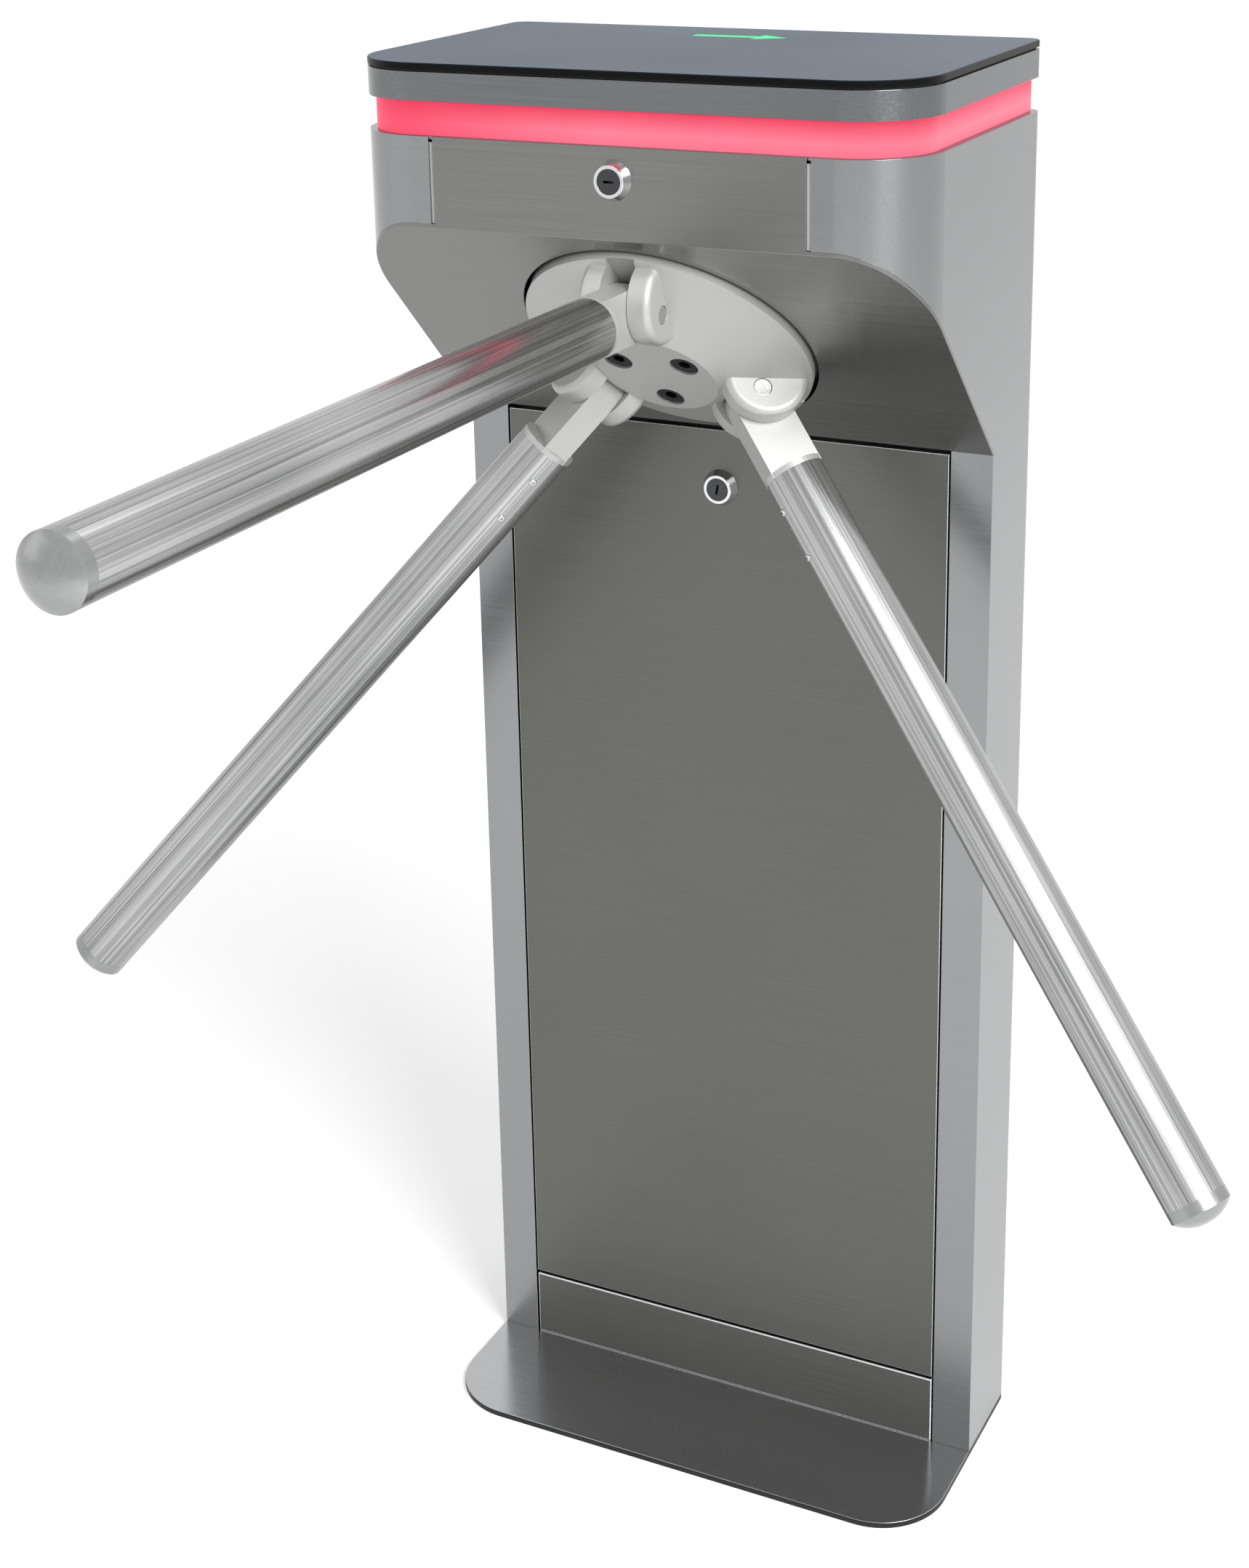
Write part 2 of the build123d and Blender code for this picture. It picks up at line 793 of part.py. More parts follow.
with BuildPart() as lock_wheel:
    with BuildSketch(inside(wheel_depth)):
        Circle(wheel_radius)
        Circle(shaft_radius + fit_gap, mode=Mode.SUBTRACT)
        with PolarLocations(notch_floor, notch_count):
            Rectangle(wheel_radius, notch_width, align=(Align.MIN, Align.CENTER), mode=Mode.SUBTRACT)
    extrude(amount=-wheel_thickness)
save(lock_wheel, "lock_wheel")


def tooth_outline(teeth, first_angle):
    # Points round a spur gear with involute flanks; first_angle is the middle of one tooth.
    pitch_radius = gear_module * teeth / 2
    base_radius = pitch_radius * cos(radians(pressure_angle))
    root = pitch_radius - tooth_dedendum * gear_module
    tip = pitch_radius + tooth_addendum * gear_module
    pitch_half = pi / (2 * teeth) - backlash / (4 * pitch_radius)
    start = max(root, base_radius)
    pressure = radians(pressure_angle)
    flank = []
    for radius in (root, start, pitch_radius, (pitch_radius + tip) / 2, tip):
        at_radius = acos(min(base_radius / radius, 1.0))
        spread = pitch_half + tan(pressure) - pressure - tan(at_radius) + at_radius
        flank.append((radius, spread))
    if start == root:
        flank.pop(0)
    points = []
    for tooth in range(teeth):
        middle = radians(first_angle) + tooth * 2 * pi / teeth
        for radius, spread in flank:
            points.append((radius * cos(middle - spread), radius * sin(middle - spread)))
        for radius, spread in reversed(flank):
            points.append((radius * cos(middle + spread), radius * sin(middle + spread)))
    return points


with BuildPart() as rotor_gear:
    with BuildSketch(inside(gear_depth)):
        with BuildLine():
            Polyline(*tooth_outline(gear_teeth, gear_first_tooth), close=True)
        make_face()
        Circle(shaft_radius + fit_gap, mode=Mode.SUBTRACT)
        with PolarLocations(gear_window_circle, gear_windows):
            Circle(gear_window_radius, mode=Mode.SUBTRACT)
    extrude(amount=-gear_thickness)
save(rotor_gear, "rotor_gear")

pinion_plane = Plane(
    origin=rotor_plane.origin - rotor_plane.y_dir * pinion_distance, x_dir=(1, 0, 0), z_dir=outward
)

with BuildPart() as damper_pinion:
    with BuildSketch(pinion_plane.offset(-gear_depth)):
        with BuildLine():
            Polyline(*tooth_outline(pinion_teeth, pinion_first_tooth), close=True)
        make_face()
    extrude(amount=-gear_thickness)
    with BuildSketch(pinion_plane.offset(-gear_depth)):
        Circle(damper_shaft_radius)
    extrude(amount=gear_depth - damper_floor)
save(damper_pinion, "damper_pinion")

with BuildPart() as damper_body:
    with BuildSketch(pinion_plane.offset(-plate_back)):
        Circle(damper_radius)
    extrude(amount=-damper_length)
    with BuildSketch(pinion_plane.offset(-damper_floor + fit_gap)):
        Circle(damper_shaft_radius + fit_gap)
    extrude(amount=-damper_length, mode=Mode.SUBTRACT)
save(damper_body, "damper_body")

with BuildPart() as encoder_disc:
    with BuildSketch(inside(disc_depth)):
        Circle(disc_radius)
        Circle(shaft_radius + fit_gap, mode=Mode.SUBTRACT)
        with PolarLocations(disc_radius - disc_slot_length, disc_slots):
            Rectangle(disc_slot_length / 2, disc_slot_width, mode=Mode.SUBTRACT)
    extrude(amount=-disc_thickness)
save(encoder_disc, "encoder_disc")

with BuildPart() as position_sensor:
    with BuildSketch(inside(rear_plate_back)):
        with Locations((0, disc_radius - sensor_overlap)):
            Rectangle(sensor_width, sensor_height, align=(Align.CENTER, Align.MIN))
    extrude(amount=-(sensor_end - rear_plate_back))
    with BuildSketch(inside(disc_depth - sensor_gap)):
        with Locations((0, disc_radius - sensor_overlap)):
            Rectangle(sensor_width, sensor_overlap + sensor_gap, align=(Align.CENTER, Align.MIN))
    extrude(amount=-(disc_thickness + 2 * sensor_gap), mode=Mode.SUBTRACT)
save(position_sensor, "position_sensor")

# Mechanism frame

with BuildPart() as main_plate:
    with BuildSketch(inside(plate_depth)):
        with Locations((0, plate_up)):
            Rectangle(2 * plate_half_width, plate_up + plate_down, align=(Align.CENTER, Align.MAX))
        Circle(bearing_radius + fit_gap, mode=Mode.SUBTRACT)
    extrude(amount=-plate_thickness)
    for side in (-1, 1):
        with BuildSketch(inside(plate_back)):
            with Locations((side * pawl_pivot_x, -pawl_pivot_down)):
                Circle(pawl_boss)
        extrude(amount=-(wheel_depth - link_gap - plate_back))
        with BuildSketch(inside(plate_back)):
            with Locations((side * pawl_pivot_x, -pawl_pivot_down)):
                Circle(pawl_pin_radius)
        extrude(amount=-(wheel_depth + wheel_thickness + fork_wall - plate_back))
save(main_plate, "main_plate")

with BuildPart() as plate_standoffs:
    with BuildSketch(inside(sheet)):
        with Locations((0, plate_up - standoff_inset), (0, -standoff_low)):
            with GridLocations(2 * (plate_half_width - standoff_inset), 1, 2, 1):
                Circle(standoff_radius)
    extrude(amount=-(plate_depth - sheet))
save(plate_standoffs, "plate_standoffs")

with BuildPart() as rear_plate:
    with BuildSketch(inside(rear_plate_depth)):
        with Locations((0, rear_up)):
            Rectangle(2 * rear_half_width, rear_up + rear_down, align=(Align.CENTER, Align.MAX))
        Circle(bearing_radius + fit_gap, mode=Mode.SUBTRACT)
    extrude(amount=-rear_plate_thickness)
save(rear_plate, "rear_plate")

with BuildPart() as plate_pillars:
    with BuildSketch(inside(plate_back)):
        with Locations((0, rear_up - pillar_inset), (0, pillar_inset - rear_down)):
            with GridLocations(2 * (rear_half_width - pillar_inset), 1, 2, 1):
                Circle(pillar_radius)
    extrude(amount=-(rear_plate_depth - plate_back))
save(plate_pillars, "plate_pillars")

# Locking pawls, their plungers and solenoids
nose_tip = wheel_radius + pawl_clearance
nose_root = nose_tip + nose_length
pawl_outer = nose_root + pawl_arm
link_x = pawl_pivot_x + tail_length
plunger_depth = wheel_depth + wheel_thickness / 2
solenoid_top = -pawl_pivot_down - solenoid_drop
fork_bridge = -pawl_pivot_down - tail_radius - link_play - fork_wall

for name, side in (("left", -1), ("right", 1)):
    with BuildPart() as pawl:
        with BuildSketch(inside(wheel_depth)):
            with Locations((side * pawl_pivot_x, -pawl_pivot_down)):
                Circle(pawl_boss)
            with BuildLine():
                Polyline(
                    (side * pawl_pivot_x, -pawl_pivot_down - pawl_arm / 2),
                    (side * pawl_outer, -pawl_pivot_down / 2),
                    (side * pawl_outer, nose_height / 2),
                    (side * nose_tip, nose_height / 2),
                    (side * nose_tip, -nose_height / 2),
                    (side * nose_root, -nose_height / 2),
                    (side * nose_root, -pawl_pivot_down / 2),
                    (side * pawl_pivot_x, -pawl_pivot_down + pawl_arm / 2),
                    close=True,
                )
            make_face()
            with Locations((side * (pawl_pivot_x + tail_length / 2), -pawl_pivot_down)):
                Rectangle(tail_length, 2 * tail_radius - link_play)
            with Locations((side * link_x, -pawl_pivot_down)):
                Circle(tail_radius)
            with Locations((side * pawl_pivot_x, -pawl_pivot_down)):
                Circle(pawl_pin_radius + fit_gap, mode=Mode.SUBTRACT)
            with Locations((side * link_x, -pawl_pivot_down)):
                SlotCenterToCenter(link_play, 2 * (link_pin_radius + link_gap), mode=Mode.SUBTRACT)
        extrude(amount=-wheel_thickness)
    save(pawl, f"pawl_{name}")

    with BuildPart() as plunger:
        for cheek_depth in (wheel_depth - link_gap - fork_wall, wheel_depth + wheel_thickness + link_gap):
            with BuildSketch(inside(cheek_depth)):
                with Locations((side * link_x, fork_bridge)):
                    Rectangle(fork_width, fork_height, align=(Align.CENTER, Align.MIN))
            extrude(amount=-fork_wall)
        with BuildSketch(inside(wheel_depth - link_gap - fork_wall)):
            with Locations((side * link_x, fork_bridge)):
                Rectangle(fork_width, fork_wall, align=(Align.CENTER, Align.MIN))
            with Locations((side * link_x, -pawl_pivot_down)):
                Circle(link_pin_radius)
        extrude(amount=-(wheel_thickness + 2 * (link_gap + fork_wall)))
        rod_end = inside(plunger_depth).from_local_coords((side * link_x, fork_bridge, 0))
        with BuildSketch(Plane(origin=rod_end, x_dir=(1, 0, 0), z_dir=-rotor_plane.y_dir)):
            Circle(plunger_radius)
        extrude(amount=solenoid_length)
    save(plunger, f"plunger_{name}")

with BuildPart() as solenoids:
    for side in (-1, 1):
        with BuildSketch(inside(plate_back)):
            with Locations((side * link_x, solenoid_top)):
                Rectangle(solenoid_width, solenoid_length, align=(Align.CENTER, Align.MAX))
        extrude(amount=-2 * (plunger_depth - plate_back))
        bore_mouth = inside(plunger_depth).from_local_coords((side * link_x, solenoid_top, 0))
        with BuildSketch(Plane(origin=bore_mouth, x_dir=(1, 0, 0), z_dir=-rotor_plane.y_dir)):
            Circle(plunger_radius + fit_gap)
        extrude(amount=solenoid_length - solenoid_floor, mode=Mode.SUBTRACT)
save(solenoids, "solenoids")

# Key locks
upper_lock_plane = Plane(origin=(0, front, upper_lock_z), x_dir=(1, 0, 0), z_dir=(0, -1, 0))
lower_lock_plane = Plane(origin=(0, column_front, lower_lock_z), x_dir=(1, 0, 0), z_dir=(0, -1, 0))
cam_depth = sheet + lock_length
cam_throw = cam_length - cam_width / 2

with BuildPart() as lock_housings:
    for lock_plane in (upper_lock_plane, lower_lock_plane):
        with BuildSketch(lock_plane):
            Circle(lock_bezel_radius)
        extrude(amount=lock_bezel_height, taper=lock_bezel_taper)
        with BuildSketch(lock_plane):
            Circle(lock_body_radius)
        extrude(amount=-cam_depth)
        with BuildSketch(lock_plane.offset(-cam_depth)):
            Circle(plug_radius + fit_gap)
        extrude(amount=cam_depth + lock_bezel_height, mode=Mode.SUBTRACT)
        with BuildSketch(lock_plane.offset(lock_bezel_height - plug_head_depth)):
            Circle(plug_head_radius + fit_gap)
        extrude(amount=plug_head_depth, mode=Mode.SUBTRACT)
save(lock_housings, "lock_housings")

with BuildPart() as lock_nuts:
    for lock_plane in (upper_lock_plane, lower_lock_plane):
        with BuildSketch(lock_plane.offset(-sheet)):
            RegularPolygon(nut_radius, hexagon)
            Circle(lock_body_radius + fit_gap, mode=Mode.SUBTRACT)
        extrude(amount=-nut_thickness)
save(lock_nuts, "lock_nuts")

for name, lock_plane, slot_turn, cam_turn in (
    ("upper", upper_lock_plane, upper_slot_turn, upper_cam_turn),
    ("lower", lower_lock_plane, lower_slot_turn, lower_cam_turn),
):
    with BuildPart() as lock_plug:
        with BuildSketch(lock_plane.offset(lock_bezel_height - plug_head_depth)):
            Circle(plug_head_radius)
        extrude(amount=plug_head_depth)
        with BuildSketch(lock_plane.offset(lock_bezel_height - plug_head_depth)):
            Circle(plug_radius)
        extrude(amount=-(lock_bezel_height - plug_head_depth + cam_depth + 2 * cam_thickness))
        with BuildSketch(lock_plane.offset(lock_bezel_height)):
            SlotOverall(key_slot_length, key_slot_width, rotation=slot_turn)
        extrude(amount=-key_slot_depth, mode=Mode.SUBTRACT)
    save(lock_plug, f"{name}_lock_plug")

    with BuildPart() as lock_cam:
        with BuildSketch(lock_plane.offset(-cam_depth)):
            SlotCenterPoint(polar(cam_throw / 2, cam_turn), polar(cam_throw, cam_turn), cam_width)
            Circle(cam_width / 2 + cam_thickness)
            Circle(plug_radius + fit_gap, mode=Mode.SUBTRACT)
        extrude(amount=-cam_thickness)
    save(lock_cam, f"{name}_lock_cam")

# Electronics in the column

with BuildPart() as board_standoffs:
    with BuildSketch(Plane.XZ.offset(-(rear - sheet))):
        with Locations((0, board_level)):
            with GridLocations(board_width - 2 * board_inset, board_height - 2 * board_inset, 2, 2):
                Circle(board_standoff_radius)
    extrude(amount=board_standoff)
save(board_standoffs, "board_standoffs")

with BuildPart() as control_board:
    with BuildSketch(Plane.XZ.offset(-(rear - sheet - board_standoff))):
        with Locations((0, board_level)):
            Rectangle(board_width, board_height)
    extrude(amount=board_thickness)
    with BuildSketch(Plane.XZ.offset(-(rear - sheet - board_standoff - board_thickness))):
        with Locations((0, board_level)):
            with GridLocations(board_width / relay_columns, board_height / 2, relay_columns, 2):
                Rectangle(relay_size, relay_size)
    extrude(amount=relay_size)
save(control_board, "control_board")

with BuildPart() as power_supply:
    with BuildSketch(Plane.XZ.offset(-(rear - sheet))):
        with Locations((0, supply_level)):
            Rectangle(supply_width, supply_height)
    extrude(amount=supply_depth)
save(power_supply, "power_supply")
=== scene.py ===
import bmesh
import bpy
import json
import math
from mathutils import Matrix, Vector
from mathutils.bvhtree import BVHTree
from mathutils.geometry import barycentric_transform

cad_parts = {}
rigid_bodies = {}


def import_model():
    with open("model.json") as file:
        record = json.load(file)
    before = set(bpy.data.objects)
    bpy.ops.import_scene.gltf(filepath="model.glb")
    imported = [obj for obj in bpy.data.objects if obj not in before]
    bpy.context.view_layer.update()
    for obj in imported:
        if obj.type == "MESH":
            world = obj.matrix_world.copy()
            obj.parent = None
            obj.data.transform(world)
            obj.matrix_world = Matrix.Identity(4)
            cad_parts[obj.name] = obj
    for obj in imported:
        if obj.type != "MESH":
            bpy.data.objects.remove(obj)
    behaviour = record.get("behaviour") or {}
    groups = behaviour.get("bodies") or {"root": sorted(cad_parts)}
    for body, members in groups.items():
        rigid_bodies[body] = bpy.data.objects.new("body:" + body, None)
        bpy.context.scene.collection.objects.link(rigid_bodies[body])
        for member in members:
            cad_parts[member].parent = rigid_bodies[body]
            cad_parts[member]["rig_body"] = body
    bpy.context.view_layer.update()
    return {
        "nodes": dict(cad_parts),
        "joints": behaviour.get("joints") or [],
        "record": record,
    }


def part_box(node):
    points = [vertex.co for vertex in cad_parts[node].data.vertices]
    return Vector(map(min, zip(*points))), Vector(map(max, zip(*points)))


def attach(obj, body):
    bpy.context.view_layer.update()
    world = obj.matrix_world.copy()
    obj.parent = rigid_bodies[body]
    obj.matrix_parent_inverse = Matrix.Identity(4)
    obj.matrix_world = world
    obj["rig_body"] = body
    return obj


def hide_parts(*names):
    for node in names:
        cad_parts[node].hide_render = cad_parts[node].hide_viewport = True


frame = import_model()
nodes = frame["nodes"]
joints = {joint["name"]: joint for joint in frame["joints"]}
armNumbers = (1, 2, 3)
scene = bpy.context.scene
scene.view_settings.view_transform = "Standard"


def linear(hexColour):
    # sRGB hex to the linear colour that a shader takes
    parts = [int(hexColour[i:i + 2], 16) / 255 for i in (1, 3, 5)]
    return tuple(c / 12.92 if c <= 0.04045 else ((c + 0.055) / 1.055) ** 2.4 for c in parts) + (1.0,)


def addNode(tree, kind, sockets=None, **settings):
    # one node with its settings, its socket values and its links
    made = tree.nodes.new(kind)
    for name, value in settings.items():
        setattr(made, name, value)
    for name, value in (sockets or {}).items():
        if isinstance(value, bpy.types.NodeSocket):
            tree.links.new(value, made.inputs[name])
        else:
            made.inputs[name].default_value = value
    return made


def newMaterial(name):
    made = bpy.data.materials.new(name)
    made.use_nodes = True
    tree = made.node_tree
    return made, tree, tree.nodes["Principled BSDF"]


def newObject(name, shape):
    # turns a finished bmesh into an object in the scene
    data = bpy.data.meshes.new(name)
    shape.to_mesh(data)
    shape.free()
    made = bpy.data.objects.new(name, data)
    scene.collection.objects.link(made)
    return made


# camera at the photograph's place, lens and tilt
cameraSet = {
    "place": (0.7422, -1.6864, 1.3089),
    "yaw": -26.634,
    "pitch": 16.788,
    "roll": -1.123,
    "focalPixels": 3468.6,
    "axisPixel": (859.0, 700.0),
    "frame": (1718, 2156),
    "sensor": 36.0,
    "clipEnd": 60,
}


def makeCamera(s):
    yaw, pitch, roll = (math.radians(s[k]) for k in ("yaw", "pitch", "roll"))
    ahead = Vector((math.sin(yaw) * math.cos(pitch), math.cos(yaw) * math.cos(pitch), -math.sin(pitch)))
    right = Vector((math.cos(yaw), -math.sin(yaw), 0))
    up = right.cross(ahead)
    right, up = math.cos(roll) * right + math.sin(roll) * up, math.cos(roll) * up - math.sin(roll) * right
    data = bpy.data.cameras.new("photoCamera")
    wide, high = s["frame"]
    data.sensor_width = s["sensor"]
    data.lens = s["sensor"] * s["focalPixels"] / high
    data.shift_x = (wide / 2 - s["axisPixel"][0]) / high
    data.shift_y = (s["axisPixel"][1] - high / 2) / high
    data.clip_end = s["clipEnd"]
    made = bpy.data.objects.new("photoCamera", data)
    scene.collection.objects.link(made)
    turn = Matrix((right, up, -ahead)).transposed().to_4x4()
    made.matrix_world = Matrix.Translation(s["place"]) @ turn
    scene.camera = made


makeCamera(cameraSet)
print("camera: set")

# white surroundings, which metal and glass mirror, and a pale floor
studioSet = {
    "daylight": 0.40,           # soft light from all round, for the matt surfaces
    "floorColour": "#f6f6f6",
    "floorGlow": (0.38, 0.68),  # dimmer round the stand, so that its shadow shows there
    "glowReach": (0.5, 2.4),
    "floorSize": 30.0,
    "floorDrop": 0.0004,
    "floorRoughness": 0.9,
    "floorSheen": 0.1,
}


def makeWorld(s):
    world = bpy.data.worlds.new("studio")
    world.use_nodes = True
    scene.world = world
    tree = world.node_tree
    tree.nodes.clear()
    rays = addNode(tree, "ShaderNodeLightPath")
    mirrored = addNode(tree, "ShaderNodeMath", {0: rays.outputs["Is Glossy Ray"],
                                                1: rays.outputs["Is Transmission Ray"]}, operation="MAXIMUM")
    seen = addNode(tree, "ShaderNodeMath", {0: rays.outputs["Is Camera Ray"], 1: mirrored.outputs[0]},
                   operation="MAXIMUM")
    dim, white = (s["daylight"],) * 3 + (1,), (1, 1, 1, 1)
    shown = addNode(tree, "ShaderNodeMix", {0: seen.outputs[0], 6: dim, 7: white}, data_type="RGBA")
    light = addNode(tree, "ShaderNodeBackground", {"Color": shown.outputs[2], "Strength": 1.0})
    addNode(tree, "ShaderNodeOutputWorld", {"Surface": light.outputs[0]})


def paleFloor(s):
    # matt paper sweep: near-white, with a soft shadow round the stand
    made, tree, gloss = newMaterial("paleFloor")
    place = addNode(tree, "ShaderNodeTexCoord")
    away = addNode(tree, "ShaderNodeVectorMath", {0: place.outputs["Object"]}, operation="LENGTH")
    near, far = s["glowReach"]
    dim, bright = s["floorGlow"]
    glow = addNode(tree, "ShaderNodeMapRange", {"Value": away.outputs["Value"], "From Min": near, "From Max": far,
                                                "To Min": dim, "To Max": bright}, interpolation_type="SMOOTHSTEP")
    tree.links.new(glow.outputs["Result"], gloss.inputs["Emission Strength"])
    gloss.inputs["Base Color"].default_value = linear(s["floorColour"])
    gloss.inputs["Roughness"].default_value = s["floorRoughness"]
    gloss.inputs["Specular IOR Level"].default_value = s["floorSheen"]
    gloss.inputs["Emission Color"].default_value = linear(s["floorColour"])
    return made


def makeFloor(s):
    shape = bmesh.new()
    bmesh.ops.create_grid(shape, x_segments=1, y_segments=1, size=s["floorSize"] / 2)
    bmesh.ops.translate(shape, verts=shape.verts, vec=(0, 0, -s["floorDrop"]))
    floor = newObject("studioFloor", shape)
    floor.visible_diffuse = False  # throws no light up, so the hub's underside keeps its shade
    floor.data.materials.append(paleFloor(s))


lampAim = (0, -0.1, 0.65)
lampSet = {
    "key": {"place": (2.1, -1.5, 2.5), "size": 1.5, "power": 90.0},
    "fill": {"place": (-2.4, -1.8, 1.9), "size": 1.8, "power": 5.0},
    "top": {"place": (0.2, 0.2, 3.0), "size": 2.0, "power": 14.0},
}


def makeLamps(s):
    for name, lamp in s.items():
        data = bpy.data.lights.new(name + "Softbox", "AREA")
        data.shape = "SQUARE"
        data.size = lamp["size"]
        data.energy = lamp["power"]
        made = bpy.data.objects.new(name + "Softbox", data)
        scene.collection.objects.link(made)
        made.location = lamp["place"]
        made.rotation_mode = "QUATERNION"
        made.rotation_quaternion = (Vector(lampAim) - made.location).to_track_quat("-Z", "Y")


makeWorld(studioSet)
makeFloor(studioSet)
makeLamps(lampSet)
print("studio: floor and %d lamps" % len(lampSet))

# finishes: colours, roughness from smooth to rough, and the size of the pattern in metres.
# A brushed grain is given along and across the scratches, and "spread" is the way they smear a reflection
finishes = {
    # ground stainless sheet of the walls: mid grey with soft level streaks
    "shellSteel": {"kind": "brushed", "light": "#939596", "dark": "#8c8e8f", "roughness": (0.22, 0.26),
                   "grain": (0.16, 0.0009), "spread": (0, 0, 1), "bump": 0.03},
    # coarser ground sheet of the doors, more matt, its scratches plain to see; its darker tone is a painted dark
    # reflection
    "panelSteel": {"kind": "brushed", "light": "#6f6f6c", "dark": "#656562", "roughness": (0.36, 0.44),
                   "grain": (0.16, 0.0009), "spread": (0, 0, 1), "bump": 0.06},
    # ground sheet of the fascia and its flap: a copy of the steel painted between the walls and the doors in tone,
    # as a painted dark reflection
    "fasciaSteel": {"kind": "brushed", "light": "#828280", "dark": "#7a7a78", "roughness": (0.22, 0.26),
                    "grain": (0.16, 0.0009), "spread": (0, 0, 1), "bump": 0.03},
    # ground stainless band under the glass: a dark line above the lit one
    "capSteel": {"kind": "brushed", "light": "#787a7c", "dark": "#6e7072", "roughness": (0.19, 0.25),
                 "grain": (0.14, 0.0010), "spread": (0, 0, 1), "bump": 0.05},
    # ground stainless floor plate: bright, and mirrors the column softly
    "baseSteel": {"kind": "brushed", "light": "#bcbdbf", "dark": "#b4b5b7", "roughness": (0.19, 0.23),
                  "grain": (0.14, 0.0009), "spread": (0, 1, 0), "bump": 0.03},
    # bead-blasted aluminium casting: pale, even and nearly matt
    "castAlloy": {"kind": "blasted", "light": "#c9c9c7", "dark": "#bdbdbb", "metal": 0.44,
                  "roughness": (0.38, 0.50), "grain": 0.0009, "bump": 0.08},
    # turned steel of pins, screws and shaft: clean and bright
    "turnedSteel": {"kind": "blasted", "light": "#c6c6c4", "dark": "#b2b2b0", "metal": 1.0,
                    "roughness": (0.22, 0.32), "grain": 0.0008, "bump": 0.05},
    # hardened and ground bearing steel: smooth, a little darker
    "bearingSteel": {"kind": "blasted", "light": "#a9abad", "dark": "#96989a", "metal": 1.0,
                     "roughness": (0.16, 0.24), "grain": 0.0010, "bump": 0.03},
    # black-oxide socket screws: near-black with a dull sheen
    "blackOxide": {"kind": "blasted", "light": "#1d1d1f", "dark": "#121213", "metal": 0.7,
                   "roughness": (0.36, 0.52), "grain": 0.0007, "bump": 0.08},
    # chrome plate on the lock bodies: a sharp bright ring
    "brightChrome": {"kind": "blasted", "light": "#dcdddd", "dark": "#cfd0d0", "metal": 1.0,
                     "roughness": (0.06, 0.12), "grain": 0.0015, "bump": 0.02},
    # steel key plugs: a dark disc inside the ring
    "plugSteel": {"kind": "blasted", "light": "#4e4f51", "dark": "#404143", "metal": 1.0,
                  "roughness": (0.22, 0.34), "grain": 0.0008, "bump": 0.05},
    # cut brass gears: warm yellow
    "gearBrass": {"kind": "blasted", "light": "#c3a25a", "dark": "#ab8a45", "metal": 1.0,
                  "roughness": (0.24, 0.34), "grain": 0.0010, "bump": 0.04},
    # zinc-plated inner sheet: cloudy grey spangle
    "traySteel": {"kind": "blasted", "light": "#9da0a2", "dark": "#888b8d", "metal": 1.0,
                  "roughness": (0.36, 0.50), "grain": 0.0060, "bump": 0.03},
    # moulded rubber seam: flat black
    "blackRubber": {"kind": "blasted", "light": "#1a1a1a", "dark": "#101010", "metal": 0.0,
                    "roughness": (0.55, 0.70), "grain": 0.0012, "bump": 0.08},
    # moulded plastic housings: soft black
    "blackPlastic": {"kind": "blasted", "light": "#222325", "dark": "#19191b", "metal": 0.0,
                     "roughness": (0.42, 0.56), "grain": 0.0010, "bump": 0.10},
    # lacquered circuit board: deep green
    "circuitGreen": {"kind": "blasted", "light": "#1f6b3c", "dark": "#12512b", "metal": 0.0,
                     "roughness": (0.30, 0.45), "grain": 0.0050, "bump": 0.04},
    # folds of the doors, painted pale as a highlight: a thin bright outline
    "paintedFoldHighlight": {"kind": "blasted", "light": "#eeefef", "dark": "#dddede", "metal": 0.5,
                   "roughness": (0.22, 0.34), "grain": 0.0010, "bump": 0.02},
    # laser-cut rim of the floor plate, painted dark as shade: a dark line on the floor
    "paintedRimShade": {"kind": "blasted", "light": "#3c3d3e", "dark": "#2c2d2e", "metal": 0.9,
                "roughness": (0.40, 0.55), "grain": 0.0008, "bump": 0.05},
    # strips behind the two slits, painted white as a highlight: bright lines in the slits
    "paintedSlitHighlight": {"kind": "blasted", "light": "#f4f4f3", "dark": "#e6e6e5", "metal": 0.0,
                  "roughness": (0.30, 0.40), "grain": 0.0020, "bump": 0.02},
}

streakSet = {"detail": 3.0, "fine": 0.62, "cloudScale": 7.0, "cloudDetail": 2.0, "cloudShare": 0.3,
             "toneRange": (0.4, 0.9), "roughRange": (0.3, 0.7), "relief": 0.0002, "smear": 0.75}


